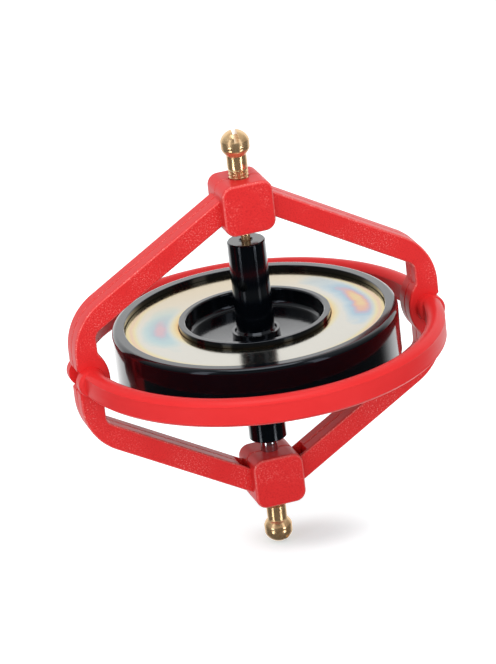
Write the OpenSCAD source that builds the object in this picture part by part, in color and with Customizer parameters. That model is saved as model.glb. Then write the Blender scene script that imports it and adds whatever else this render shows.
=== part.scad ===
// Demonstration gyroscope: a weighted rotor that spins between two ball-headed pivot
// screws, inside a cage moulded in a front and a rear half. The upright loop lies in
// the XZ plane, the spin axis is Z, and Z is 0 at the tip of the lower ball.

/* [Upright loop] */
// Gap between the rotor and the bosses on the loop's inner edge
loop_gap = 2.75; // [1.5:0.05:5]
// Width of the loop's arms, seen from the front
arm_w = 4.6; // [3.6:0.1:5.4]
// Depth of the loop, front to back, both halves together
loop_d = 6; // [5:0.2:8]
// Angle by which the arms fall away from level
arm_slope = 30.5; // [27:0.5:34]
// Outer radius of the four bends
bend_r = 12; // [6:0.5:13]
// Inner radius of the four bends
inner_bend_r = 2; // [1:0.25:5]
// How far below the block's outer face the arms start
arm_drop = 3.1; // [1.5:0.1:4]
// Depth of the line where the two halves meet
seam_step = 0.12; // [0:0.02:0.3]
// Width of that line on each half
seam_w = 0.22; // [0.1:0.02:0.6]

/* [Bearing blocks] */
// Gap between a block and the end of the hub
hub_gap = 2.8; // [2:0.1:5]
// Width and depth of a block
block_w = 10.4; // [9:0.2:13]
// Height of a block
block_h = 10.4; // [9:0.2:12]
// Rounding of the block's edges, seen from the front
block_round = 2.2; // [0.4:0.1:2.6]
// Rounding of the edges round the block's front and rear faces
face_round = 0.7; // [0.3:0.1:1.5]
// Width of the cored pocket where an arm meets its block
pocket_w = 1.9; // [0.8:0.1:2.5]
// Depth of that pocket below the arm's inner face
pocket_depth = 1.3; // [0.5:0.1:2]

/* [Ring] */
// How far inside the loop's outer edge the middle of the ring's section lies
ring_inset = 2.4; // [1.8:0.1:3]
// Width of the ring's section, across its flat sides
ring_w = 3.6; // [3:0.1:4.2]
// Height of the ring's section
ring_h = 5.6; // [4.6:0.1:7]
// Radius of the ring's rounded top and bottom
ring_crown = 2.12; // [1.8:0.02:2.3]
// How far each half ring stands off the middle plane
ring_stand = 1.2; // [0:0.1:2]
// Diameter of the round stub under each end of a half ring
stub_d = 5.7; // [4.6:0.1:7]
// How far the stub stands out from the loop's face
stub_len = 2.3; // [1.6:0.1:3]
// Rounding of the stub's outer edge
stub_round = 0.9; // [0.2:0.1:1.4]
// Inward bulge of the boss at each ring joint
boss_bulge = 1.9; // [0.5:0.1:3]
// Height of that boss along the loop
boss_h = 10.6; // [7:0.2:13]
// Depth of the outer notch between the half rings
notch_depth = 1.3; // [0.4:0.1:2]

/* [Locating pins] */
// Diameter of the pins in the two ring bosses
boss_pin_d = 2.2; // [1.2:0.1:2.6]
// Diameter of the pins in the blocks
block_pin_d = 1.4; // [0.8:0.1:1.6]
// Length of every locating pin
locate_len = 1.8; // [1:0.1:2.4]
// Clearance round a locating pin and past its end
locate_gap = 0.06; // [0.02:0.01:0.1]

/* [Rotor] */
// Diameter of the rotor
rotor_d = 56.9; // [50:0.5:60]
// Height of the rotor's rim
rotor_h = 10.6; // [9:0.2:14]
// Thickness of the rim's wall round a weight ring
rim_wall = 2.55; // [1.8:0.05:4]
// Inner diameter of a weight ring
weight_id = 30.2; // [26:0.2:36]
// Thickness of a weight ring
weight_t = 3.3; // [2.5:0.1:3.5]
// Height of the rims above the weight ring's face
lip_rise = 1.1; // [0.3:0.1:1.2]
// Thickness of the wall round the dish
dish_wall = 1.4; // [1:0.1:2.5]
// Rounding of the rotor's outer edges
rim_round = 1; // [0.3:0.1:1.2]
// Diameter of the hub
hub_d = 7.6; // [6.6:0.2:9]
// Length of the hub
hub_len = 42.2; // [38:0.2:46]
// Width of the collar at the hub's foot
collar_w = 0.95; // [0.4:0.05:2]
// Diameter of the hole that takes the pull string
string_d = 2.2; // [1.4:0.1:2.6]
// Height of that hole above the ring's plane
string_z = 12.6; // [10:0.2:14]
// Direction of that hole, seen from above
string_angle = 44; // [0:1:90]

/* [Axle and screws] */
// How far the ball heads reach beyond the blocks
head_reach = 9.7; // [9:0.1:13]
// Diameter of the axle
axle_d = 3.4; // [2.8:0.1:3.8]
// Depth at which the axle meets the lower screw, inside the lower block
axle_seat = 4.6; // [3:0.1:6]
// Diameter of the screws at their thread
screw_d = 4; // [3.8:0.1:4.5]
// Diameter of the ball heads
ball_d = 5.74; // [5.2:0.02:7]
// Width of the driver slots
slot_w = 0.8; // [0.4:0.1:1.2]
// Depth of the driver slots
slot_depth = 1.4; // [0.6:0.1:1.8]
// Diameter of the upper screw's shoulder below its thread
shoulder_d = 3; // [2.4:0.1:3.4]
// Length of the shoulder that shows below the block
shoulder_len = 0.9; // [0.4:0.1:1.6]
// Diameter of the upper screw's pivot pin
pivot_d = 1.9; // [1.4:0.1:2.2]
// Length of the pivot pin inside the hub
pivot_grip = 3.6; // [2:0.2:4.4]
// Diameter of the countersunk mouth of the hub's pivot hole
mouth_d = 3; // [2.4:0.1:4]
// Angle of the upper driver slot, seen from above
upper_slot_angle = 82; // [0:1:180]
// Angle of the lower driver slot, seen from above
lower_slot_angle = 155; // [0:1:180]

/* [Fits] */
// Clearance round parts that turn
run_gap = 0.05; // [0.02:0.01:0.08]
// End play of the rotor between the screws
end_gap = 0.1; // [0.05:0.01:0.2]
// Clearance round parts pressed together
press_gap = 0.01; // [0:0.01:0.03]

/* [Hidden] */
$fn = 96;
eps = 0.01;
far = 200;
// small overlap that joins bodies which would only touch
sink = 0.4;
half_d = loop_d / 2;
block_in = hub_len / 2 + hub_gap;
block_reach = block_in + block_h;
block_mid = block_in + block_h / 2;
mid_z = block_reach + head_reach;
loop_x = rotor_d / 2 + loop_gap + boss_bulge + arm_w;
ring_r = loop_x - ring_inset;
arm_rise = tan(arm_slope);
// height of an arm's outer corner, where it would meet the straight side
corner_z = block_reach - arm_drop - arm_rise * (loop_x - block_w / 2);
inner_x = loop_x - arm_w;
inner_corner_z = corner_z + arm_rise * arm_w - arm_w / cos(arm_slope);
boss_r = (pow(boss_h / 2, 2) + pow(boss_bulge, 2)) / (2 * boss_bulge);
boss_pin_x = (inner_x - boss_bulge + loop_x - notch_depth) / 2;
block_pin_x = (screw_d / 2 + block_w / 2) / 2;
rim_z = rotor_h / 2;
weight_z = rim_z - lip_rise;
web_z = weight_z - weight_t;
weight_od = rotor_d - 2 * rim_wall;
dish_r = weight_id / 2 - dish_wall;
// height of the dish's floor, of the foot of its wall and of the collar round the hub
floor_z = max(web_z + 0.4, 1);
dish_z = min(floor_z + 0.5, weight_z - 0.8);
collar_z = floor_z + 1;
foot_round = 1;
lip_round = 0.4;
edge_ease = 0.2;
hub_z = hub_len / 2;
// the axle ends below the string hole
axle_top = string_z - string_d / 2 - 2;
cup_d = axle_d * 0.7;
cup_depth = cup_d / 2 - edge_ease;
screw_end = block_in + axle_seat;
shoulder_end = max(block_in - shoulder_len, hub_z + 0.5);
pivot_end = hub_z - pivot_grip;
pivot_hole_d = pivot_d + 2 * run_gap;
mouth_depth = max(mouth_d - pivot_hole_d, 0.2) / 2;
slot_len = ball_d + 1;
bend_steps = 20;

// points of a circular arc about c
function arc(c, r, a0, a1, steps) =
    [for (k = [0:steps]) let (a = a0 + (a1 - a0) * k / steps) c + r * [cos(a), sin(a)]];
// the bend that joins a straight side at x to an arm that rises inward from z
function bend(x, z, r) =
    arc([x - r, z - r * tan((90 - arm_slope) / 2)], r, 0, 90 - arm_slope, bend_steps);
function flip_x(pts) = [for (k = [len(pts) - 1:-1:0]) [-pts[k][0], pts[k][1]]];
function flip_z(pts) = [for (k = [len(pts) - 1:-1:0]) [pts[k][0], -pts[k][1]]];
// a closed six-sided loop with its four side corners rounded
function loop_outline(x, z, r) =
    let (q = bend(x, z, r), top = concat(q, [[0, z + arm_rise * x]], flip_x(q)))
    concat(top, flip_z(top));

// the upright loop as a slab from y = -depth to y = 0, thinned by inset all round
module loop_slab(depth, inset) {
    grow = inset / cos(arm_slope);
    rotate([90, 0, 0])
        linear_extrude(depth)
            difference() {
                polygon(loop_outline(loop_x - inset, corner_z + arm_rise * inset - grow,
                    bend_r - inset));
                polygon(loop_outline(inner_x + inset, inner_corner_z - arm_rise * inset + grow,
                    inner_bend_r + inset));
            }
}

module round_rect(w, h, r) {
    square([w - 2 * r, h], center = true);
    square([w, h - 2 * r], center = true);
    for (sx = [-1, 1], sy = [-1, 1])
        translate([sx * (w / 2 - r), sy * (h / 2 - r)]) circle(r);
}

// one bearing block, rounded on all its edges and centred on the spin axis
module block_body(inset) {
    w = block_w - 2 * inset;
    h = block_h - 2 * inset;
    intersection() {
        translate([0, 0, -h / 2]) linear_extrude(h) round_rect(w, block_w, face_round);
        rotate([90, 0, 0])
            linear_extrude(block_w + 2, center = true) round_rect(w, h, block_round);
        rotate([90, 0, 90])
            linear_extrude(block_w + 2, center = true) round_rect(block_w, h, face_round);
    }
}

// the disc-shaped boss on the inner edge of the loop, at a ring joint
module boss(depth) {
    intersection() {
        translate([inner_x - boss_bulge + boss_r, 0, 0])
            rotate([90, 0, 0]) cylinder(r = boss_r, h = depth);
        translate([inner_x - boss_bulge - 1, -far / 2, -boss_h])
            cube([boss_bulge + 1 + arm_w / 2, far, 2 * boss_h]);
    }
}

// the rounded notch in the loop's outer edge, between the ends of the half rings
module outer_notch() {
    r = ring_h / 2 + 0.2;
    translate([loop_x + r - notch_depth, 0, 0])
        rotate([90, 0, 0]) cylinder(r = r, h = far, center = true);
}

// the ring's section: rounded above and below, with flat inner and outer sides
module ring_section() {
    lift = ring_h / 2 - ring_crown;
    intersection() {
        union() {
            square([2 * ring_crown, 2 * lift], center = true);
            for (s = [-1, 1]) translate([0, s * lift]) circle(ring_crown);
        }
        square([ring_w, ring_h + 1], center = true);
    }
}

// half of the ring, on the front side; its ends sink a little into the loop
module half_ring() {
    intersection() {
        translate([0, -ring_stand, 0])
            rotate([0, 0, 180]) rotate_extrude(angle = 180)
                translate([ring_r, 0]) ring_section();
        translate([-far / 2, -far, -far / 2]) cube([far, far - half_d + sink, far]);
    }
}

// the round stub that carries an end of the half ring, on the loop's front face
module ring_stub() {
    top = half_d + stub_len;
    edge = arc([stub_d / 2 - stub_round, top - stub_round], stub_round, 0, 90, 8);
    translate([ring_r, 0, 0])
        rotate([90, 0, 0])
            rotate_extrude()
                polygon(concat([[0, half_d - sink], [stub_d / 2, half_d - sink]], edge,
                    [[0, top]]));
}

// pockets cored into the arms beside one block, between the loop's two faces
module arm_pockets() {
    run = loop_d - 1.4;
    foot_z = block_reach - arm_drop - arm_w / cos(arm_slope);
    for (s = [-1, 1])
        translate([s * (block_w / 2 + pocket_w / 2), 0, foot_z])
            cube([pocket_w, run, 2 * pocket_depth], center = true);
}

// the bores of the two blocks: the upper one for its screw, the lower one for the
// lower screw and, above that, for the axle
module bearing_bores() {
    screw_r = screw_d / 2 + run_gap;
    translate([0, 0, block_in - 1]) cylinder(r = screw_r, h = block_h + 2);
    translate([0, 0, -block_reach - 1])
        cylinder(r = screw_r, h = block_reach + 1 - screw_end + end_gap);
    translate([0, 0, -block_reach]) cylinder(r = axle_d / 2 + run_gap, h = block_h + 1);
}

// the places of the locating pins in the XZ plane, with their diameters
locate_spots = concat(
    [for (s = [-1, 1]) [s * boss_pin_x, 0, boss_pin_d]],
    [for (s = [-1, 1], t = [-1, 1])
        [s * block_pin_x, t * block_mid, block_pin_d]]);

module locating_pegs(grow, reach) {
    for (spot = locate_spots)
        translate([spot[0], 0, spot[1]])
            rotate([-90, 0, 0]) cylinder(d = spot[2] + 2 * grow, h = reach);
}

// one half of the cage, in front of the middle plane and without its locating pegs
module cage_half() {
    difference() {
        union() {
            loop_slab(half_d, seam_step);
            translate([0, -seam_w, 0]) loop_slab(half_d - seam_w, 0);
            for (s = [0, 1]) mirror([s, 0, 0]) boss(half_d);
            for (t = [-1, 1])
                translate([0, 0, t * block_mid])
                    intersection() {
                        union() {
                            block_body(seam_step);
                            intersection() {
                                block_body(0);
                                translate([-far / 2, -far - seam_w, -far / 2])
                                    cube([far, far, far]);
                            }
                        }
                        translate([-far / 2, -far, -far / 2]) cube([far, far, far]);
                    }
        }
        for (s = [0, 1]) mirror([s, 0, 0]) outer_notch();
        for (t = [0, 1]) mirror([0, 0, t]) arm_pockets();
        bearing_bores();
    }
    half_ring();
    for (s = [0, 1]) mirror([s, 0, 0]) ring_stub();
}

module front_cage_half() {
    color([0.86, 0.2, 0.2])
        translate([0, 0, mid_z]) {
            cage_half();
            translate([0, -1, 0]) locating_pegs(0, locate_len + 1);
        }
}

module rear_cage_half() {
    color([0.82, 0.17, 0.17])
        translate([0, 0, mid_z])
            difference() {
                mirror([0, 1, 0]) cage_half();
                translate([0, -1, 0]) locating_pegs(locate_gap, locate_len + locate_gap + 1);
            }
}

// a ball head on its neck, standing on z = 0 with the ball's tip at the top
module ball_head(neck) {
    translate([0, 0, neck]) sphere(d = ball_d);
    cylinder(d = screw_d, h = neck);
}

module driver_slot(angle) {
    rotate([0, 0, angle])
        translate([-slot_len / 2, -slot_w / 2, ball_d / 2 - slot_depth])
            cube([slot_len, slot_w, slot_depth + 1]);
}

module upper_pivot_screw() {
    ball_z = mid_z - ball_d / 2;
    color([0.8, 0.63, 0.38])
        translate([0, 0, mid_z])
            difference() {
                union() {
                    translate([0, 0, block_in]) ball_head(ball_z - block_in);
                    translate([0, 0, shoulder_end])
                        cylinder(d = shoulder_d, h = block_in - shoulder_end + 1);
                    translate([0, 0, pivot_end + pivot_d / 2])
                        cylinder(d = pivot_d, h = block_in - pivot_end);
                    translate([0, 0, pivot_end + pivot_d / 2]) sphere(d = pivot_d);
                }
                translate([0, 0, ball_z]) driver_slot(upper_slot_angle);
            }
}

module lower_pivot_screw() {
    ball_z = mid_z - ball_d / 2;
    color([0.78, 0.6, 0.36])
        translate([0, 0, mid_z])
            mirror([0, 0, 1])
                difference() {
                    translate([0, 0, screw_end]) ball_head(ball_z - screw_end);
                    translate([0, 0, screw_end - eps])
                        cylinder(d1 = cup_d, d2 = cup_d - 2 * cup_depth, h = cup_depth);
                    translate([0, 0, ball_z]) driver_slot(-lower_slot_angle);
                }
}

// outline of the wheel's upper side, from the axis out to its waist
function wheel_side() = concat(
    [[0, hub_z], [hub_d / 2 - edge_ease, hub_z], [hub_d / 2, hub_z - edge_ease],
     [hub_d / 2, collar_z + lip_round], [hub_d / 2 + lip_round, collar_z],
     [hub_d / 2 + collar_w, collar_z], [hub_d / 2 + collar_w, floor_z]],
    arc([dish_r - edge_ease - foot_round, dish_z + foot_round], foot_round, -90, 0, 8),
    arc([dish_r + lip_round, rim_z - lip_round], lip_round, 180, 90, 6),
    arc([weight_id / 2 - edge_ease, rim_z - edge_ease], edge_ease, 90, 0, 4),
    [[weight_id / 2, web_z], [weight_od / 2, web_z]],
    arc([weight_od / 2 + edge_ease, rim_z - edge_ease], edge_ease, 180, 90, 4),
    arc([rotor_d / 2 - rim_round, rim_z - rim_round], rim_round, 90, 0, 12));

module rotor_wheel() {
    side = wheel_side();
    color([0.06, 0.06, 0.07])
        translate([0, 0, mid_z])
            difference() {
                rotate_extrude() polygon(concat(side, flip_z(side)));
                // blind hole for the upper pivot, with its countersunk mouth
                translate([0, 0, pivot_end - run_gap])
                    cylinder(d = pivot_hole_d, h = pivot_grip + 1);
                translate([0, 0, hub_z - mouth_depth])
                    cylinder(d1 = pivot_hole_d - eps, d2 = mouth_d + eps, h = mouth_depth + eps);
                translate([0, 0, -hub_z - 1])
                    cylinder(d = axle_d + 2 * press_gap, h = hub_z + 1 + axle_top);
                translate([0, 0, string_z])
                    rotate([90, 0, -string_angle])
                        cylinder(d = string_d, h = hub_d + 2, center = true);
            }
}

// a flat turned ring with eased edges, lying on z = 0
module weight_ring() {
    ease = 0.15;
    ro = weight_od / 2 - press_gap;
    ri = weight_id / 2 + press_gap;
    color([0.85, 0.84, 0.78])
        rotate_extrude()
            polygon([[ri, ease], [ri + ease, 0], [ro - ease, 0], [ro, ease],
                [ro, weight_t - ease], [ro - ease, weight_t], [ri + ease, weight_t],
                [ri, weight_t - ease]]);
}

module upper_weight_ring() {
    translate([0, 0, mid_z + web_z]) weight_ring();
}

module lower_weight_ring() {
    translate([0, 0, mid_z - web_z - weight_t]) weight_ring();
}

module rotor_axle() {
    r = axle_d / 2;
    tip_r = cup_d / 2 - cup_depth;
    tip_z = -screw_end + end_gap - cup_depth;
    cone_z = tip_z + r - tip_r;
    color([0.75, 0.76, 0.78])
        translate([0, 0, mid_z])
            rotate_extrude()
                polygon([[0, tip_z], [tip_r, tip_z], [r, cone_z], [r, axle_top - edge_ease],
                    [r - edge_ease, axle_top], [0, axle_top]]);
}

front_cage_half();
rear_cage_half();
upper_pivot_screw();
lower_pivot_screw();
rotor_wheel();
upper_weight_ring();
lower_weight_ring();
rotor_axle();
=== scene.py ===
import math

import bpy
from mathutils import Matrix, Vector


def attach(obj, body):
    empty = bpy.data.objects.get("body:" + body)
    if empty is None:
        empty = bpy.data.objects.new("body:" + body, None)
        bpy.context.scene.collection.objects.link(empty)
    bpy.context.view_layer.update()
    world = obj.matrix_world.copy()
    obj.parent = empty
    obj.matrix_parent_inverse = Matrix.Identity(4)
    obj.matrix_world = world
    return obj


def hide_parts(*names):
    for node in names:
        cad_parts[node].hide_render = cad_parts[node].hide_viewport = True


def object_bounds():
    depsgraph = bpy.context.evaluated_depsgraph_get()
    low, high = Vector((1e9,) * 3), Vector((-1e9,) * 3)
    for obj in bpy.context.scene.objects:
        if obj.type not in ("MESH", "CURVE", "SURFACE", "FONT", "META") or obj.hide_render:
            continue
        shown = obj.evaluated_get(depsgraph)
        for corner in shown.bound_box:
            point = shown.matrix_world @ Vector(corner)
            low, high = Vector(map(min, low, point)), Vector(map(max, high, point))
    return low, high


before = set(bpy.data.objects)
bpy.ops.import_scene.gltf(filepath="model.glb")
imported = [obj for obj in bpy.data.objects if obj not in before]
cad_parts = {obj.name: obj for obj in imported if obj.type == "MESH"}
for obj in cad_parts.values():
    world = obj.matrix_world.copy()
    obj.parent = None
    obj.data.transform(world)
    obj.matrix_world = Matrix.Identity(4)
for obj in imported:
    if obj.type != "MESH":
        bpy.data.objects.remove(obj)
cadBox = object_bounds()
mm = 0.001

print("scene: helpers")


def linear(hexColour, alpha=1.0):
    # sRGB hex to the linear values that Blender's sockets take
    parts = [int(hexColour[i:i + 2], 16) / 255 for i in (1, 3, 5)]
    return [c / 12.92 if c <= 0.04045 else ((c + 0.055) / 1.055) ** 2.4 for c in parts] + [alpha]


def greyLevel(value):
    return [value, value, value, 1]


def scaleFor(size):
    # the noise scale whose lumps are about this many mm wide
    return 1000 / size / 2


def addNode(tree, kind, settings=None, links=None):
    # settings: node properties or input values by name; links: input name to an output socket
    node = tree.nodes.new(kind)
    for key, value in (settings or {}).items():
        if isinstance(key, str) and hasattr(node, key):
            setattr(node, key, value)
        else:
            node.inputs[key].default_value = value
    for key, socket in (links or {}).items():
        tree.links.new(socket, node.inputs[key])
    return node


def setRamp(node, stops):
    # stops: (place, colour) pairs
    ramp = node.color_ramp
    while len(ramp.elements) > 1:
        ramp.elements.remove(ramp.elements[-1])
    ramp.elements[0].position, ramp.elements[0].color = stops[0]
    for place, colour in stops[1:]:
        ramp.elements.new(place).color = colour


def startMaterial(name):
    material = bpy.data.materials.new(name)
    material.use_nodes = True
    tree = material.node_tree
    shader = tree.nodes["Principled BSDF"]
    return material, tree, shader


def giveMaterial(thing, material):
    thing.data.materials.clear()
    thing.data.materials.append(material)


def newObject(name, vertices, faces):
    mesh = bpy.data.meshes.new(name)
    mesh.from_pydata([Vector(v) for v in vertices], [], faces)
    mesh.validate()
    thing = bpy.data.objects.new(name, mesh)
    bpy.context.scene.collection.objects.link(thing)
    return thing


def freeze(thing):
    # puts the result of the object's modifiers into its own mesh
    bpy.context.view_layer.update()
    shown = thing.evaluated_get(bpy.context.evaluated_depsgraph_get())
    shaped = bpy.data.meshes.new_from_object(shown)
    thing.modifiers.clear()
    thing.data = shaped


def combine(thing, other, operation):
    step = thing.modifiers.new(operation.lower(), "BOOLEAN")
    step.operation = operation
    step.solver = "EXACT"
    step.object = other
    freeze(thing)
    bpy.data.objects.remove(other)


def softenShading(thing, degrees):
    thing.data.shade_smooth()
    thing.data.set_sharp_from_angle(angle=math.radians(degrees))
    normals = thing.modifiers.new("flatFacesStayFlat", "WEIGHTED_NORMAL")
    normals.keep_sharp = True


print("scene: camera and light")

# the photograph's camera, as angles and distance round the ring's centre
camera = {
    "azimuth": -15.49,  # degrees
    "elevation": 21.85,
    "roll": -6.53,  # the gyroscope leans this far in the picture
    "distance": 811.0,  # mm
    "aimRight": 1.8,  # mm, from the ring's centre to the middle of the picture
    "aimUp": -1.32,
    "focalPixels": 4096.0,
    "pictureHeight": 664,
    "sensor": 36.0,  # mm on the picture's long side
}

ringPlane = (cadBox[0].z + cadBox[1].z) / 2


def turnAndLean(azimuth, elevation):
    # unit vectors to the right, up and away from a viewer at these angles, in degrees
    a, e = math.radians(azimuth), math.radians(elevation)
    right = Vector((math.cos(a), math.sin(a), 0))
    away = Vector((-math.sin(a) * math.cos(e), math.cos(a) * math.cos(e), -math.sin(e)))
    return right, right.cross(away), away


def placeCamera():
    right, up, away = turnAndLean(camera["azimuth"], camera["elevation"])
    roll = math.radians(camera["roll"])
    across = right * math.cos(roll) + up * math.sin(roll)
    along = up * math.cos(roll) - right * math.sin(roll)
    data = bpy.data.cameras.new("photoCamera")
    data.sensor_width = camera["sensor"]
    data.lens = camera["focalPixels"] * camera["sensor"] / camera["pictureHeight"]
    data.clip_start, data.clip_end = 0.01, 20
    thing = bpy.data.objects.new("photoCamera", data)
    bpy.context.scene.collection.objects.link(thing)
    aim = across * camera["aimRight"] + along * camera["aimUp"]
    place = Vector((0, 0, ringPlane)) - (away * camera["distance"] + aim) * mm
    turned = Matrix((across, along, -away)).transposed().to_4x4()
    thing.matrix_world = Matrix.Translation(place) @ turned
    bpy.context.scene.camera = thing


placeCamera()

# two tall strip lights beside the camera, small reflectors low down, a soft light overhead,
# a warm fill in front and an even surround
studio = {
    "stripTurn": 47.0,  # degrees to each side of the camera
    "stripReach": 700.0,  # mm from the axis
    "stripWide": 160.0,
    "stripTall": 980.0,
    "stripMiddle": 310.0,  # mm above the floor
    "leftWatts": 1.25,
    "rightWatts": 1.05,
    "stripColour": "#f3f5ff",
    "smallReach": 350.0,  # small reflectors that mostly the brass and the axle mirror
    "smallWide": 75.0,
    "reflectors": {  # height above the floor, how tall, watts
        "FootReflector": (-160.0, 66.0, 0.15),
        "HeadReflector": (-44.0, 34.0, 0.1),
    },
    "topWatts": 1.9,
    "topWide": 420.0,
    "topUp": 750.0,
    "topReach": 120.0,  # mm towards the camera
    "topTurn": 4.0,
    "fillWatts": 1.5,
    "fillWide": 800.0,
    "fillTall": 220.0,
    "fillUp": 235.0,
    "fillReach": 650.0,
    "fillColour": "#ffe2cf",
    "backdrop": 1.3,  # what gloss sees behind the object
    "backdropEdge": (0.36, 0.68),  # cosines from straight behind, where it begins and is full
    "sideWalls": 0.6,  # and at the sides and behind, higher up
    "sideEdge": (-0.7, -0.2),
    "sideFoot": (0.7, 0.8),
    # (height, grey), where 0 is straight down, 0.5 the horizon and 1 straight up
    "glow": ((0.5, 0.78), (0.62, 0.78), (0.85, 0.5)),  # what lights the object
    "frontRoom": ((0.0, 0.045), (0.5, 0.045), (0.58, 0.3), (0.72, 0.3), (0.8, 0.07),
                  (0.9, 0.07), (0.97, 0.4)),  # what gloss sees: table, pale walls, ceiling
}


def addLight(name, place, aim, wide, tall, watts, colour="#ffffff"):
    data = bpy.data.lights.new(name, "AREA")
    data.color = linear(colour)[:3]
    data.shape = "RECTANGLE"
    data.size, data.size_y = wide * mm, tall * mm
    data.energy = watts
    thing = bpy.data.objects.new(name, data)
    bpy.context.scene.collection.objects.link(thing)
    thing.location = place
    thing.rotation_mode = "QUATERNION"
    thing.rotation_quaternion = (aim - place).to_track_quat("-Z", "Y")
    return thing


def lightStudio():
    for side, watts in (("left", studio["leftWatts"]), ("right", studio["rightWatts"])):
        turn = studio["stripTurn"] * (-1 if side == "left" else 1)
        away = turnAndLean(camera["azimuth"] + turn, 0)[2]
        level = Vector((0, 0, studio["stripMiddle"] * mm))
        addLight(side + "Strip", level - away * studio["stripReach"] * mm, level,
                 studio["stripWide"], studio["stripTall"], watts, studio["stripColour"])
        for name, (middle, tall, glow) in studio["reflectors"].items():
            level = Vector((0, 0, middle * mm))
            addLight(side + name, level - away * studio["smallReach"] * mm, level,
                     studio["smallWide"], tall, glow)
    away = turnAndLean(camera["azimuth"] + studio["topTurn"], 0)[2]
    top = Vector((0, 0, studio["topUp"] * mm)) - away * studio["topReach"] * mm
    addLight("topLight", top, Vector((0, 0, 0)), studio["topWide"], studio["topWide"],
             studio["topWatts"])
    low = Vector((0, 0, studio["fillUp"] * mm))
    ahead = turnAndLean(camera["azimuth"], 0)[2]
    fill = addLight("frontFill", low - ahead * studio["fillReach"] * mm,
                    Vector((0, 0, ringPlane)), studio["fillWide"], studio["fillTall"],
                    studio["fillWatts"], studio["fillColour"])
    fill.visible_glossy = False


lightStudio()


def surround():
    # an even grey lights the object, the camera sees white, and gloss and metal reflect the
    # white backdrop behind the object, pale walls low down and a darker room in front
    world = bpy.data.worlds.new("studioSurround")
    world.use_nodes = True
    bpy.context.scene.world = world
    tree = world.node_tree
    background = tree.nodes["Background"]
    behind = turnAndLean(camera["azimuth"], 0)[2]
    where = addNode(tree, "ShaderNodeTexCoord")
    facing = addNode(tree, "ShaderNodeVectorMath", {"operation": "DOT_PRODUCT", 1: behind},
                     {0: where.outputs["Generated"]})
    backdrop = addNode(tree, "ShaderNodeMapRange",
                       {"interpolation_type": "SMOOTHSTEP", "From Min": studio["backdropEdge"][0],
                        "From Max": studio["backdropEdge"][1]},
                       {"Value": facing.outputs["Value"]})
    height = addNode(tree, "ShaderNodeSeparateXYZ", None, {0: where.outputs["Generated"]})
    upright = addNode(tree, "ShaderNodeMapRange", {"From Min": -1.0},
                      {"Value": height.outputs["Z"]})
    levels = addNode(tree, "ShaderNodeValToRGB", None, {0: upright.outputs["Result"]})
    setRamp(levels, [(place, greyLevel(grey)) for place, grey in studio["frontRoom"]])
    # higher up, the room is paler at the sides and behind than in front
    high = addNode(tree, "ShaderNodeMapRange",
                   {"From Min": studio["sideFoot"][0], "From Max": studio["sideFoot"][1]},
                   {"Value": upright.outputs["Result"]})
    aside = addNode(tree, "ShaderNodeMapRange",
                    {"interpolation_type": "SMOOTHSTEP", "From Min": studio["sideEdge"][0],
                     "From Max": studio["sideEdge"][1]},
                    {"Value": facing.outputs["Value"]})
    paler = addNode(tree, "ShaderNodeMath", {"operation": "MULTIPLY"},
                    {0: high.outputs["Result"], 1: aside.outputs["Result"]})
    room = addNode(tree, "ShaderNodeMix", {"data_type": "RGBA", 7: greyLevel(studio["sideWalls"])},
                   {0: paler.outputs[0], 6: levels.outputs[0]})
    mirrored = addNode(tree, "ShaderNodeMix",
                       {"data_type": "RGBA", 7: greyLevel(studio["backdrop"])},
                       {0: backdrop.outputs["Result"], 6: room.outputs[2]})
    ray = addNode(tree, "ShaderNodeLightPath")
    shiny = addNode(tree, "ShaderNodeMath", {"operation": "MAXIMUM"},
                    {0: ray.outputs["Is Glossy Ray"], 1: ray.outputs["Is Transmission Ray"]})
    glow = addNode(tree, "ShaderNodeValToRGB", None, {0: upright.outputs["Result"]})
    setRamp(glow, [(place, greyLevel(grey)) for place, grey in studio["glow"]])
    lit = addNode(tree, "ShaderNodeMix", {"data_type": "RGBA"},
                  {0: shiny.outputs[0], 6: glow.outputs[0], 7: mirrored.outputs[2]})
    seen = addNode(tree, "ShaderNodeMix", {"data_type": "RGBA", 7: greyLevel(1)},
                   {0: ray.outputs["Is Camera Ray"], 6: lit.outputs[2]})
    tree.links.new(seen.outputs[2], background.inputs["Color"])
    bpy.context.scene.view_settings.view_transform = "Standard"


surround()


paper = {
    "colour": "#e2f1f4",
    "reach": 1500.0,  # mm from the middle to each side
    "fibre": 0.5556,  # mm, drawn coarser than real paper fibres
    "paintedShadowMiddle": (6.5, -0.2),  # mm, the middle of the soft patch of painted shadow behind the foot
    "paintedShadowWide": 19.0,
    "paintedShadowDeep": 12.0,
    "liftInPaintedShadow": 0.27,  # how far the camera's view of the paper is lifted towards white in the middle of the painted shadow
    "liftBeyond": 0.6,
}


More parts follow.
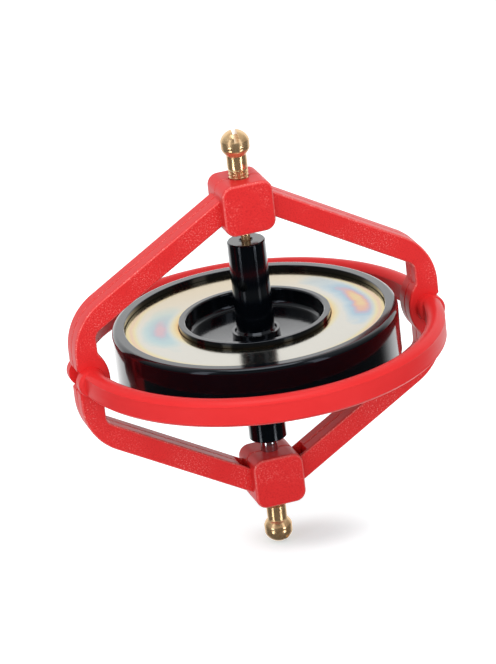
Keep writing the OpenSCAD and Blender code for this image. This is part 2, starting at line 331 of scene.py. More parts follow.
def layFloor():
    # matt white paper; the camera sees its lit part as plain white and keeps the real shadow, with
    # a painted shadow behind the foot where the lift is smaller
    material, tree, shader = startMaterial("whitePaperSweep")
    shader.inputs["Base Color"].default_value = linear(paper["colour"])
    shader.inputs["Roughness"].default_value = 0.9
    shader.inputs["Specular IOR Level"].default_value = 0.1
    fibre = addNode(tree, "ShaderNodeTexNoise", {"Scale": scaleFor(paper["fibre"]), "Detail": 3.0},
                    {"Vector": addNode(tree, "ShaderNodeTexCoord").outputs["Object"]})
    bump = addNode(tree, "ShaderNodeBump", {"Strength": 0.05, "Distance": 0.0001},
                   {"Height": fibre.outputs["Fac"]})
    tree.links.new(bump.outputs["Normal"], shader.inputs["Normal"])
    ray = addNode(tree, "ShaderNodeLightPath")
    # painted shadow: the camera's lift towards white is smaller in a soft patch behind the foot
    middle = paper["paintedShadowMiddle"]
    patch = addNode(tree, "ShaderNodeMapping",
                    {"vector_type": "TEXTURE", "Location": (middle[0] * mm, middle[1] * mm, 0),
                     "Rotation": (0, 0, math.radians(camera["azimuth"])),
                     "Scale": (paper["paintedShadowWide"] * mm, paper["paintedShadowDeep"] * mm, 1)},
                    {0: addNode(tree, "ShaderNodeTexCoord").outputs["Object"]})
    away = addNode(tree, "ShaderNodeVectorMath", {"operation": "LENGTH"}, {0: patch.outputs[0]})
    paleness = addNode(tree, "ShaderNodeMapRange",
                       {"interpolation_type": "SMOOTHERSTEP", "To Min": paper["liftInPaintedShadow"],
                        "To Max": paper["liftBeyond"]}, {"Value": away.outputs["Value"]})
    lift = addNode(tree, "ShaderNodeMath", {"operation": "MULTIPLY"},
                   {0: ray.outputs["Is Camera Ray"], 1: paleness.outputs["Result"]})
    shader.inputs["Emission Color"].default_value = linear("#ffffff")
    tree.links.new(lift.outputs[0], shader.inputs["Emission Strength"])
    reach = paper["reach"] * mm
    corners = [(-reach, -reach, 0), (reach, -reach, 0), (reach, reach, 0), (-reach, reach, 0)]
    floor = newObject("paperFloor", corners, [(0, 1, 2, 3)])
    giveMaterial(floor, material)
    floor.visible_glossy = False


layFloor()

print("scene: materials")


redFinish = {
    "plain": "#d72627",
    "light": "#e13233",
    # the deeper red of the painted shade in the grain's valleys
    "valley": "#a81318",
    # the pale pink of the painted glints on the grain's tips and of the painted highlight along the
    # edges
    "paintedGlint": "#f3aaa4",
    "grain": 0.15,  # mm, the spark-eroded grain, drawn a little coarse so that it shows
    "patch": 4.545,  # mm, uneven colour
    "flow": 1.923,  # mm, shallow sink and flow marks
    "streak": 0.3846,  # mm across the marks that run along the ring
    "grainStarts": (3.4, 4.2),  # mm above and below the ring's plane
    "index": 1.27,  # below the plastic's 1.53: the grain breaks its sheen
}


def mouldedRedAbs():
    # injection-moulded ABS: strong red, spark-eroded grain on the loop's and blocks' flat faces
    # that breaks the light into tiny sparks, drawn as painted glints on the grain's tips, with
    # painted shade in its valleys and a painted highlight along the edges; the ring is smoother
    material, tree, shader = startMaterial("mouldedRedAbs")
    place = addNode(tree, "ShaderNodeTexCoord")
    side = addNode(tree, "ShaderNodeSeparateXYZ", None, {0: place.outputs["Normal"]})
    flatness = addNode(tree, "ShaderNodeMath", {"operation": "ABSOLUTE"}, {0: side.outputs["Y"]})
    height = addNode(tree, "ShaderNodeSeparateXYZ", None, {0: place.outputs["Object"]})
    fromRing = addNode(tree, "ShaderNodeMath", {"operation": "SUBTRACT", 1: ringPlane},
                       {0: height.outputs["Z"]})
    awayFromRing = addNode(tree, "ShaderNodeMath", {"operation": "ABSOLUTE"},
                           {0: fromRing.outputs[0]})
    starts, full = redFinish["grainStarts"]
    loopOnly = addNode(tree, "ShaderNodeMapRange", {"From Min": starts * mm, "From Max": full * mm},
                       {"Value": awayFromRing.outputs[0]})
    front = addNode(tree, "ShaderNodeMapRange",
                    {"interpolation_type": "SMOOTHSTEP", "From Min": 0.93, "From Max": 0.995},
                    {"Value": flatness.outputs[0]})
    grained = addNode(tree, "ShaderNodeMath", {"operation": "MULTIPLY"},
                      {0: front.outputs["Result"], 1: loopOnly.outputs["Result"]})
    edges = addNode(tree, "ShaderNodeValToRGB", None, {0: flatness.outputs[0]})
    setRamp(edges, [(0.25, greyLevel(0)), (0.5, greyLevel(1)), (0.85, greyLevel(1)),
                    (0.98, greyLevel(0))])
    grain = addNode(tree, "ShaderNodeTexNoise",
                    {"Scale": scaleFor(redFinish["grain"]), "Detail": 2.0, "Roughness": 0.7},
                    {"Vector": place.outputs["Object"]})
    patches = addNode(tree, "ShaderNodeTexNoise",
                      {"Scale": scaleFor(redFinish["patch"]), "Detail": 3.0},
                      {"Vector": place.outputs["Object"]})
    tint = addNode(tree, "ShaderNodeMix",
                   {"data_type": "RGBA", 6: linear(redFinish["plain"]),
                    7: linear(redFinish["light"])},
                   {0: patches.outputs["Fac"]})
    # painted shade: the valleys of the grain are drawn a little deeper red
    valleyShade = addNode(tree, "ShaderNodeMapRange",
                      {"From Min": 0.5, "From Max": 0.36, "To Max": 0.3},
                      {"Value": grain.outputs["Fac"]})
    valleyShadeFlat = addNode(tree, "ShaderNodeMath", {"operation": "MULTIPLY"},
                          {0: valleyShade.outputs["Result"], 1: grained.outputs[0]})
    grainShaded = addNode(tree, "ShaderNodeMix", {"data_type": "RGBA", 7: linear(redFinish["valley"])},
                     {0: valleyShadeFlat.outputs[0], 6: tint.outputs[2]})
    # painted glints: its tips are drawn paler, in clusters on the faces, and all along the rounded
    # edges as a painted highlight
    tipGlint = addNode(tree, "ShaderNodeMapRange", {"From Min": 0.56, "From Max": 0.68, "To Max": 0.62},
                   {"Value": grain.outputs["Fac"]})
    clusters = addNode(tree, "ShaderNodeMapRange",
                       {"From Min": 0.44, "From Max": 0.62, "To Max": 0.8},
                       {"Value": patches.outputs["Fac"]})
    onFaces = addNode(tree, "ShaderNodeMath", {"operation": "MULTIPLY"},
                      {0: clusters.outputs["Result"], 1: grained.outputs[0]})
    faceGlints = addNode(tree, "ShaderNodeMath", {"operation": "MULTIPLY"},
                         {0: tipGlint.outputs["Result"], 1: onFaces.outputs[0]})
    edgeHighlight = addNode(tree, "ShaderNodeMath", {"operation": "ADD", 1: 0.16},
                       {0: tipGlint.outputs["Result"]})
    onEdges = addNode(tree, "ShaderNodeMath", {"operation": "MULTIPLY"},
                      {0: edges.outputs[0], 1: loopOnly.outputs["Result"]})
    loopEdgeHighlight = addNode(tree, "ShaderNodeMath", {"operation": "MULTIPLY"},
                         {0: edgeHighlight.outputs[0], 1: onEdges.outputs[0]})
    glintsAndHighlight = addNode(tree, "ShaderNodeMath", {"operation": "MAXIMUM"},
                     {0: faceGlints.outputs[0], 1: loopEdgeHighlight.outputs[0]})
    colour = addNode(tree, "ShaderNodeMix", {"data_type": "RGBA", 7: linear(redFinish["paintedGlint"])},
                     {0: glintsAndHighlight.outputs[0], 6: grainShaded.outputs[2]})
    tree.links.new(colour.outputs[2], shader.inputs["Base Color"])
    rough = addNode(tree, "ShaderNodeMapRange", {"To Min": 0.3, "To Max": 0.42},
                    {"Value": grained.outputs[0]})
    roughVaried = addNode(tree, "ShaderNodeMath", {"operation": "MULTIPLY_ADD", 1: 0.12},
                          {0: patches.outputs["Fac"], 2: rough.outputs["Result"]})
    tree.links.new(roughVaried.outputs[0], shader.inputs["Roughness"])
    depth = addNode(tree, "ShaderNodeMapRange", {"To Min": 0.05, "To Max": 0.7},
                    {"Value": grained.outputs[0]})
    bump = addNode(tree, "ShaderNodeBump", {"Distance": 0.0001},
                   {"Strength": depth.outputs["Result"], "Height": grain.outputs["Fac"]})
    # shallow sink and flow marks, and streaks drawn out along the ring
    flow = addNode(tree, "ShaderNodeTexNoise",
                   {"Scale": scaleFor(redFinish["flow"]), "Detail": 1.0},
                   {"Vector": place.outputs["Object"]})
    waves = addNode(tree, "ShaderNodeBump", {"Strength": 0.12, "Distance": 0.0002},
                    {"Height": flow.outputs["Fac"], "Normal": bump.outputs["Normal"]})
    turn = addNode(tree, "ShaderNodeMath", {"operation": "ARCTAN2"},
                   {0: height.outputs["Y"], 1: height.outputs["X"]})
    # metres for each radian, about a ninth of the ring's real radius
    turnStretched = addNode(tree, "ShaderNodeMath", {"operation": "MULTIPLY", 1: 0.004},
                            {0: turn.outputs[0]})
    unrolled = addNode(tree, "ShaderNodeCombineXYZ", None,
                       {0: turnStretched.outputs[0], 2: height.outputs["Z"]})
    streaks = addNode(tree, "ShaderNodeTexNoise",
                      {"Scale": scaleFor(redFinish["streak"]), "Detail": 2.0},
                      {"Vector": unrolled.outputs[0]})
    ringOnly = addNode(tree, "ShaderNodeMath", {"operation": "SUBTRACT", 0: 0.35},
                       {1: loopOnly.outputs["Result"]})
    ringShare = addNode(tree, "ShaderNodeMath", {"operation": "MAXIMUM", 1: 0.0},
                        {0: ringOnly.outputs[0]})
    drawn = addNode(tree, "ShaderNodeBump", {"Distance": 0.0001},
                    {"Strength": ringShare.outputs[0], "Height": streaks.outputs["Fac"],
                     "Normal": waves.outputs["Normal"]})
    tree.links.new(drawn.outputs["Normal"], shader.inputs["Normal"])
    shader.inputs["IOR"].default_value = redFinish["index"]
    return material


blackFinish = {
    "deep": "#020407",
    "bloom": "#05080d",
    "haze": 3.125,  # mm, uneven polish
    "ripple": 1.1905,  # mm, faint waves of the moulding
    "scuff": 0.1923,  # mm, hairline scuffs, drawn coarser than the real ones
    "mirror": "#7d8894",
    "index": 1.6,
    "coatIndex": 1.25,
}


def polishedBlackStyrene():
    # moulded in a polished tool: deep blue-black, a clear mirror where the view grazes it and
    # dark where it faces the viewer, with hairline scuffs
    material, tree, shader = startMaterial("polishedBlackStyrene")
    place = addNode(tree, "ShaderNodeTexCoord")
    haze = addNode(tree, "ShaderNodeTexNoise",
                   {"Scale": scaleFor(blackFinish["haze"]), "Detail": 4.0},
                   {"Vector": place.outputs["Object"]})
    rough = addNode(tree, "ShaderNodeMapRange", {"To Min": 0.06, "To Max": 0.2},
                    {"Value": haze.outputs["Fac"]})
    tree.links.new(rough.outputs["Result"], shader.inputs["Roughness"])
    shade = addNode(tree, "ShaderNodeMix",
                    {"data_type": "RGBA", 6: linear(blackFinish["deep"]),
                     7: linear(blackFinish["bloom"])},
                    {0: haze.outputs["Fac"]})
    tree.links.new(shade.outputs[2], shader.inputs["Base Color"])
    ripple = addNode(tree, "ShaderNodeTexNoise",
                     {"Scale": scaleFor(blackFinish["ripple"]), "Detail": 2.0},
                     {"Vector": place.outputs["Object"]})
    scuffs = addNode(tree, "ShaderNodeTexNoise",
                     {"Scale": scaleFor(blackFinish["scuff"]), "Detail": 2.0},
                     {"Vector": place.outputs["Object"]})
    fine = addNode(tree, "ShaderNodeBump", {"Strength": 0.15, "Distance": 0.00001},
                   {"Height": scuffs.outputs["Fac"]})
    bump = addNode(tree, "ShaderNodeBump", {"Strength": 0.08, "Distance": 0.0001},
                   {"Height": ripple.outputs["Fac"], "Normal": fine.outputs["Normal"]})
    tree.links.new(bump.outputs["Normal"], shader.inputs["Normal"])
    shader.inputs["IOR"].default_value = blackFinish["index"]
    shader.inputs["Specular Tint"].default_value = linear(blackFinish["mirror"])
    shader.inputs["Coat Weight"].default_value = 1.0
    shader.inputs["Coat IOR"].default_value = blackFinish["coatIndex"]
    shader.inputs["Coat Roughness"].default_value = 0.08
    return material


# the film on the weight rings: radii in mm, angles in degrees round the axis
film = {
    "inner": 15.1,
    "outer": 25.9,
    "plain": "#c0bdb4",
    "leftAngle": 165.0,
    "leftRadius": 18.9,
    "rightAngle": 1.0,
    "rightRadius": 21.2,
    "cloudWide": 4.3,
    "cloudTurn": 46.0,
    "swirl": 4.545,  # mm, how far the film's edges wander
    "grit": 0.25,  # mm between the polishing scratches, drawn coarser than the real ones
    "rear": "#c2ac86",  # painted reflection: the rear of the ring is drawn a warmer beige
    "rearEdge": (4.0, 24.0),  # mm behind the axis
}


def cloudDistance(tree, radius, angle, cloudRadius, cloudAngle, stir):
    # how far a point is from a cloud's middle, 1 at its edge; the cloud bends round the ring
    away = addNode(tree, "ShaderNodeMath", {"operation": "SUBTRACT", 1: cloudRadius}, {0: radius})
    across = addNode(tree, "ShaderNodeMath", {"operation": "DIVIDE", 1: film["cloudWide"]},
                     {0: away.outputs[0]})
    turned = addNode(tree, "ShaderNodeMath", {"operation": "SUBTRACT", 1: math.radians(cloudAngle)},
                     {0: angle})
    wrapped = addNode(tree, "ShaderNodeMath", {"operation": "WRAP", 1: math.pi, 2: -math.pi},
                      {0: turned.outputs[0]})
    along = addNode(tree, "ShaderNodeMath",
                    {"operation": "DIVIDE", 1: math.radians(film["cloudTurn"])},
                    {0: wrapped.outputs[0]})
    flat = addNode(tree, "ShaderNodeCombineXYZ", None, {0: across.outputs[0], 1: along.outputs[0]})
    length = addNode(tree, "ShaderNodeVectorMath", {"operation": "LENGTH"}, {0: flat.outputs[0]})
    return addNode(tree, "ShaderNodeMath", {"operation": "ADD"},
                   {0: length.outputs["Value"], 1: stir}).outputs[0]


def zincPlatedSteel():
    # turned steel with a bright zinc plate and a thin passivated film: a pale mirror with
    # yellow edges, and soft blue and rose clouds on its left and right that are partly the film's
    # colour and partly painted reflection lobes; its rear is painted warmer, a painted reflection
    material, tree, shader = startMaterial("zincPlatedSteel")
    shader.inputs["Metallic"].default_value = 1.0
    place = addNode(tree, "ShaderNodeTexCoord")
    axes = addNode(tree, "ShaderNodeSeparateXYZ", None, {0: place.outputs["Object"]})
    flat = addNode(tree, "ShaderNodeCombineXYZ", None, {0: axes.outputs["X"], 1: axes.outputs["Y"]})
    metres = addNode(tree, "ShaderNodeVectorMath", {"operation": "LENGTH"}, {0: flat.outputs[0]})
    radius = addNode(tree, "ShaderNodeMath", {"operation": "MULTIPLY", 1: 1000.0},
                     {0: metres.outputs["Value"]})
    angle = addNode(tree, "ShaderNodeMath", {"operation": "ARCTAN2"},
                    {0: axes.outputs["Y"], 1: axes.outputs["X"]})
    swirl = addNode(tree, "ShaderNodeTexNoise",
                    {"Scale": scaleFor(film["swirl"]), "Detail": 3.0, "Roughness": 0.55},
                    {"Vector": place.outputs["Object"]})
    stir = addNode(tree, "ShaderNodeMath", {"operation": "MULTIPLY_ADD", 1: 0.9, 2: -0.45},
                   {0: swirl.outputs["Fac"]})
    # bands along the inner and outer edges, wandering a little with the noise
    stirredRadius = addNode(tree, "ShaderNodeMath", {"operation": "ADD"},
                            {0: radius.outputs[0], 1: stir.outputs[0]})
    across = addNode(tree, "ShaderNodeMapRange",
                     {"From Min": film["inner"], "From Max": film["outer"]},
                     {"Value": stirredRadius.outputs[0]})
    bands = addNode(tree, "ShaderNodeValToRGB", None, {0: across.outputs["Result"]})
    setRamp(bands, [(0.0, linear("#b38a57")), (0.035, linear("#ccaf76")), (0.1, linear("#c6bb97")),
                    (0.2, linear(film["plain"])), (0.72, linear(film["plain"])),
                    (0.82, linear("#c9bd90")), (0.89, linear("#c9ac93")),
                    (0.95, linear("#cbb885")), (1.0, linear("#b8aa7f"))])
    # the two clouds are painted reflection lobes at fixed angles round the ring, coloured like the
    # film
    left = addNode(tree, "ShaderNodeValToRGB", None,
                   {0: cloudDistance(tree, radius.outputs[0], angle.outputs[0], film["leftRadius"],
                                     film["leftAngle"], stir.outputs[0])})
    setRamp(left, [(0.0, linear("#b89ca2")), (0.1, linear("#ab9fa8")), (0.24, linear("#9babb2")),
                   (0.5, linear("#a0b5b7")), (0.72, linear("#aebab7")),
                   (0.95, linear(film["plain"]))])
    right = addNode(tree, "ShaderNodeValToRGB", None,
                    {0: cloudDistance(tree, radius.outputs[0], angle.outputs[0],
                                      film["rightRadius"], film["rightAngle"],
                                      stir.outputs[0])})
    setRamp(right, [(0.0, linear("#c9b285")), (0.2, linear("#c9ac7f")), (0.32, linear("#c59785")),
                    (0.42, linear("#a699a8")), (0.55, linear("#92a9b8")), (0.78, linear("#a9b6bb")),
                    (0.98, linear(film["plain"]))])
    filmAndReflectionLobes = addNode(tree, "ShaderNodeMix", {"data_type": "RGBA"},
                     {6: left.outputs[0], 7: right.outputs[0]})
    half = addNode(tree, "ShaderNodeMapRange", {"From Min": -0.001, "From Max": 0.001},
                   {"Value": axes.outputs["X"]})
    tree.links.new(half.outputs["Result"], filmAndReflectionLobes.inputs[0])
    # the edge bands cover the clouds near the edges
    edge = addNode(tree, "ShaderNodeValToRGB", None, {0: across.outputs["Result"]})
    setRamp(edge, [(0.0, greyLevel(0)), (0.12, greyLevel(0)), (0.24, greyLevel(1)),
                   (0.7, greyLevel(1)), (0.84, greyLevel(0))])
    colour = addNode(tree, "ShaderNodeMix", {"data_type": "RGBA"},
                     {0: edge.outputs[0], 6: bands.outputs[0], 7: filmAndReflectionLobes.outputs[2]})
    # painted reflection: the rear of the ring is drawn warmer
    starts, full = film["rearEdge"]
    rear = addNode(tree, "ShaderNodeMapRange",
                   {"interpolation_type": "SMOOTHSTEP", "From Min": starts * mm,
                    "From Max": full * mm, "To Max": 0.6}, {"Value": axes.outputs["Y"]})
    rearReflectionWarmed = addNode(tree, "ShaderNodeMix", {"data_type": "RGBA", 7: linear(film["rear"])},
                     {0: rear.outputs["Result"], 6: colour.outputs[2]})
    tree.links.new(rearReflectionWarmed.outputs[2], shader.inputs["Base Color"])
    scratchPlace = addNode(tree, "ShaderNodeMapping", {"Scale": (1.0, 0.06, 1.0)},
                           {0: place.outputs["Object"]})
    scratch = addNode(tree, "ShaderNodeTexNoise",
                      {"Scale": scaleFor(film["grit"]), "Detail": 3.0, "Roughness": 0.7},
                      {"Vector": scratchPlace.outputs[0]})
    rough = addNode(tree, "ShaderNodeMapRange", {"To Min": 0.09, "To Max": 0.2},
                    {"Value": scratch.outputs["Fac"]})
    tree.links.new(rough.outputs["Result"], shader.inputs["Roughness"])
    bump = addNode(tree, "ShaderNodeBump", {"Strength": 0.16, "Distance": 0.00001},
                   {"Height": scratch.outputs["Fac"]})
    tree.links.new(bump.outputs["Normal"], shader.inputs["Normal"])
    return material


brassFinish = {
    "touched": "#d3a772",
    "bright": "#ecd0a4",
    "turningLine": 0.12,  # mm between the tool's lines, drawn coarser than the real feed
    "tarnish": 0.7143,  # mm
}


def turnedBrass():
    # bar-turned brass: warm yellow metal, highlights stretched along the axis by the fine
    # turning lines, duller where fingers have touched it
    material, tree, shader = startMaterial("turnedBrass")
    place = addNode(tree, "ShaderNodeTexCoord")
    stretched = addNode(tree, "ShaderNodeMapping", {"Scale": (0.08, 0.08, 1.0)},
                        {0: place.outputs["Object"]})
    lines = addNode(tree, "ShaderNodeTexNoise",
                    {"Scale": scaleFor(brassFinish["turningLine"]), "Detail": 2.0},
                    {"Vector": stretched.outputs[0]})
    tarnish = addNode(tree, "ShaderNodeTexNoise",
                      {"Scale": scaleFor(brassFinish["tarnish"]), "Detail": 3.0},
                      {"Vector": place.outputs["Object"]})
    tint = addNode(tree, "ShaderNodeMix",
                   {"data_type": "RGBA", 6: linear(brassFinish["touched"]),
                    7: linear(brassFinish["bright"])},
                   {0: tarnish.outputs["Fac"]})
    tree.links.new(tint.outputs[2], shader.inputs["Base Color"])
    rough = addNode(tree, "ShaderNodeMapRange", {"To Min": 0.16, "To Max": 0.3},
                    {"Value": tarnish.outputs["Fac"]})
    tree.links.new(rough.outputs["Result"], shader.inputs["Roughness"])
    bump = addNode(tree, "ShaderNodeBump", {"Strength": 0.35, "Distance": 0.00001},
                   {"Height": lines.outputs["Fac"]})
    tree.links.new(bump.outputs["Normal"], shader.inputs["Normal"])
    shader.inputs["Metallic"].default_value = 0.8  # a thin dull tarnish scatters some light
    shader.inputs["Anisotropic"].default_value = 0.7
    lathed = addNode(tree, "ShaderNodeTangent", {"direction_type": "RADIAL", "axis": "Z"})
    tree.links.new(lathed.outputs["Tangent"], shader.inputs["Tangent"])
    return material


pinFinish = {
    "colour": "#b9bdc2",
    "grindingLine": 0.1,  # mm, drawn coarser than the real ones
}


def groundSteel():
    # centreless-ground steel pin: cool grey, nearly a mirror, with faint grinding lines
    material, tree, shader = startMaterial("groundSteel")
    place = addNode(tree, "ShaderNodeTexCoord")
    stretched = addNode(tree, "ShaderNodeMapping", {"Scale": (0.1, 0.1, 1.0)},
                        {0: place.outputs["Object"]})
    lines = addNode(tree, "ShaderNodeTexNoise",
                    {"Scale": scaleFor(pinFinish["grindingLine"]), "Detail": 2.0},
                    {"Vector": stretched.outputs[0]})
    rough = addNode(tree, "ShaderNodeMapRange", {"To Min": 0.14, "To Max": 0.26},
                    {"Value": lines.outputs["Fac"]})
    tree.links.new(rough.outputs["Result"], shader.inputs["Roughness"])
    bump = addNode(tree, "ShaderNodeBump", {"Strength": 0.2, "Distance": 0.00001},
                   {"Height": lines.outputs["Fac"]})
    tree.links.new(bump.outputs["Normal"], shader.inputs["Normal"])
    shader.inputs["Metallic"].default_value = 1.0
    shader.inputs["Base Color"].default_value = linear(pinFinish["colour"])
    return material


redAbs = mouldedRedAbs()
blackStyrene = polishedBlackStyrene()
platedSteel = zincPlatedSteel()
brass = turnedBrass()
pinSteel = groundSteel()

for nodeName, material in (("rotor_wheel", blackStyrene), ("upper_weight_ring", platedSteel),
                           ("lower_weight_ring", platedSteel), ("rotor_axle", pinSteel)):
    giveMaterial(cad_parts[nodeName], material)

print("scene: cage")

# the two moulded halves of the cage; sizes in mm, heights from the ring's plane
cage = {
    "outerX": 37.7,
    "armWide": 4.6,
    "halfDeep": 3.0,
    "slope": 30.5,  # degrees
    "outerCorner": 12.056,  # where an arm's outer line meets the straight side
    "innerCorner": 9.427,
    "outerBend": 12.0,
    "innerBend": 2.0,
    "armEnd": 2.3,  # the arms end inside the blocks
    "bossBulge": 1.9,
    "bossTall": 10.6,
    "notchRadius": 3.0,
    "notchDeep": 1.3,
    "edgeRound": 0.42,
    "seamStep": 0.12,
    "seamWide": 0.22,
    "blockMiddle": 29.1,
    "blockWide": 10.4,
    "blockTall": 10.4,
    "blockRound": 2.2,  # seen from the front
    "blockEdge": 0.6,  # round the front and rear faces
    "pocketWide": 1.9,
    "pocketDeep": 1.3,
    "pocketRun": 4.6,
    "ringRadius": 35.3,
    "ringWide": 3.6,
    "ringTall": 5.6,
    "ringCrown": 2.12,
    "ringStand": 1.2,
    "ringDip": 0.07,  # how far the ring's flat sides fall back towards their edges
    "ringSteps": 132,
    "stubRadius": 2.85,
    "stubReach": 5.3,
    "stubRound": 0.9,
    "sink": 0.4,
    "screwBore": 2.05,
    "axleBore": 1.75,
    "axleBoreDeep": 4.5,  # from the top of the lower block
    "around": 64,
    "softBelow": 34,  # degrees; sharper edges stay crisp
}


def arcPoints(middle, radius, start, end, steps):
    return [(middle[0] + radius * math.cos(math.radians(start + (end - start) * k / steps)),
             middle[1] + radius * math.sin(math.radians(start + (end - start) * k / steps)))
            for k in range(steps + 1)]


def allQuarters(quarter):
    # a closed outline from the quarter that starts on the x axis and ends above the middle
    back = quarter[::-1]
    return (quarter + [(-x, z) for x, z in back[1:]] + [(-x, -z) for x, z in quarter[1:]]
            + [(x, -z) for x, z in back[1:-1]])


def insetOutline(points, distance):
    # moves a closed outline to its left by the distance, with mitred corners
    moved = []
    for k, point in enumerate(points):
        before, here = Vector(points[k - 1]), Vector(point)
        after = Vector(points[(k + 1) % len(points)])
        one, two = (here - before).normalized(), (after - here).normalized()
        left, right = Vector((-one.y, one.x)), Vector((-two.y, two.x))
        moved.append(tuple(here + (left + right) * distance / (1 + left.dot(right))))
    return moved


def loft(name, rings, wrap):
    # joins rings of equally many points; wrap joins the last to the first, else both get a cap
    count = len(rings[0])
    points = [point for ring in rings for point in ring]
    faces = []
    for k in range(len(rings) if wrap else len(rings) - 1):
        low, high = k * count, (k + 1) % len(rings) * count
        for j in range(count):
            n = (j + 1) % count
            faces.append((low + j, low + n, high + n, high + j))
    if not wrap:
        faces.append(tuple(range(count))[::-1])
        faces.append(tuple(range((len(rings) - 1) * count, len(rings) * count)))
    return newObject(name, [Vector(p) * mm for p in points], faces)


def edgeLevels(bevel, deep, steps):
    # (inset, depth) from the seam's step to the rounded edge of the front face
    step, wide = cage["seamStep"], cage["seamWide"]
    levels = [(step, 0), (step, -wide * 0.7), (step * 0.3, -wide), (0, -wide * 1.3)]
    for k in range(steps + 1):
        turn = math.radians(90 * k / steps)
        levels.append((bevel * (1 - math.cos(turn)), -deep + bevel * (1 - math.sin(turn))))
    return levels


def loopHalf():
    # the front half of the upright loop, with rounded front edges and a stepped seam edge
    rise = math.tan(math.radians(cage["slope"]))
    sweep = 90 - cage["slope"]
    plane = ringPlane / mm

    def quarterOf(x, corner, radius, middlePart):
        bend = arcPoints((x - radius, corner - radius * math.tan(math.radians(sweep / 2))), radius,
                         0, sweep, 20)
        top = corner + rise * (x - cage["armEnd"])
        return middlePart + bend + [(cage["armEnd"], top), (0, top)]

    notchMiddle = cage["outerX"] + cage["notchRadius"] - cage["notchDeep"]
    notchTurn = math.degrees(math.acos((notchMiddle - cage["outerX"]) / cage["notchRadius"]))
    notch = arcPoints((notchMiddle, 0), cage["notchRadius"], 180, 180 - notchTurn, 9)
    innerX = cage["outerX"] - cage["armWide"]
    half, bulge = cage["bossTall"] / 2, cage["bossBulge"]
    bossRadius = (half ** 2 + bulge ** 2) / (2 * bulge)
    bossTurn = math.degrees(math.asin(half / bossRadius))
    boss = arcPoints((innerX - bulge + bossRadius, 0), bossRadius, 180, 180 - bossTurn, 9)
    outer = allQuarters(quarterOf(cage["outerX"], cage["outerCorner"], cage["outerBend"], notch))
    inner = allQuarters(quarterOf(innerX, cage["innerCorner"], cage["innerBend"], boss))
    edge = edgeLevels(cage["edgeRound"], cage["halfDeep"], 5)
    rings = [[(x, y, z + plane) for x, z in insetOutline(outer, inset)] for inset, y in edge]
    rings += [[(x, y, z + plane) for x, z in insetOutline(inner, -inset)]
              for inset, y in reversed(edge)]
    return loft("loopHalf", rings, True)


def blockHalf(side):
    # the front half of a bearing block, rounded on every edge
    middle = ringPlane / mm + side * cage["blockMiddle"]
    wide, tall, radius = cage["blockWide"] / 2, cage["blockTall"] / 2, cage["blockRound"]
    rings = []
    for inset, y in edgeLevels(cage["blockEdge"], wide, 6):
        corner = radius - inset
        ring = []
        for n, (sx, sz) in enumerate(((1, 1), (-1, 1), (-1, -1), (1, -1))):
            ring += arcPoints((sx * (wide - inset - corner), sz * (tall - inset - corner)), corner,
                              90 * n, 90 * n + 90, 10)
        rings.append([(x, y, z + middle) for x, z in ring])
    return loft("blockHalf", rings, False)


def ringHalf():
    # the front half ring: flat outer and inner sides, rounded above and below
    crown, half = cage["ringCrown"], cage["ringWide"] / 2
    lift = cage["ringTall"] / 2 - crown
    edgeTurn = math.degrees(math.acos(half / crown))
    top = arcPoints((0, lift), crown, edgeTurn, 180 - edgeTurn, 14)
    bottom = arcPoints((0, -lift), crown, 180 + edgeTurn, 360 - edgeTurn, 14)
    height = lift + math.sqrt(crown ** 2 - half ** 2)
    side = [(height * f, cage["ringDip"] * f ** 2) for f in (0.92, 0.6, 0.25, -0.25, -0.6, -0.92)]
    section = top + [(-half + dip, z) for z, dip in side]
    section += bottom + [(half - dip, -z) for z, dip in side]
    # the ring's ends sink a little into the loop
    standOff = cage["halfDeep"] - cage["sink"] - cage["ringStand"]
    start = math.degrees(math.asin(standOff / cage["ringRadius"]))
    rings = []
    for k in range(cage["ringSteps"] + 1):
        turn = math.radians(start + (180 - 2 * start) * k / cage["ringSteps"])
        rings.append([((cage["ringRadius"] + u) * math.cos(turn),
                       -(cage["ringRadius"] + u) * math.sin(turn) - cage["ringStand"],
                       z + ringPlane / mm)
                      for u, z in section])
    return loft("ringHalf", rings, False)


def ringStub(side):
    # the round stub on the loop's face that carries one end of the half ring
    radius, reach, bevel = cage["stubRadius"], cage["stubReach"], cage["stubRound"]
    profile = [(radius, cage["halfDeep"] - cage["sink"])]
    profile += arcPoints((radius - bevel, reach - bevel), bevel, 0, 80, 6)
    profile.append((radius - bevel - 0.3, reach))  # the flat end, inside the rounding
    rings = []
    for r, y in profile:
        rings.append([(side * cage["ringRadius"] + r * math.cos(t), -y,
                       ringPlane / mm + r * math.sin(t))
                      for t in (2 * math.pi * k / cage["around"] for k in range(cage["around"]))])
    return loft("ringStub", rings, False)


def rod(name, low, high, radius):
    # a rod on the axis
    turns = [2 * math.pi * k / cage["around"] for k in range(cage["around"])]
    return loft(name, [[(radius * math.cos(turn), radius * math.sin(turn), z) for turn in turns]
                       for z in (low, high)], False)


def slab(name, low, high):
    corners = ((low[0], low[1]), (high[0], low[1]), (high[0], high[1]), (low[0], high[1]))
    return loft(name, [[(x, y, z) for x, y in corners] for z in (low[2], high[2])], False)


def facesOutward(thing):
    # turns the faces so that the mesh holds a positive volume
    mesh = thing.data
    volume = 0
    for face in mesh.polygons:
        corner = [mesh.vertices[v].co for v in face.vertices]
        for k in range(1, len(corner) - 1):
            volume += corner[0].dot(corner[k].cross(corner[k + 1]))
    if volume < 0:
        mesh.flip_normals()


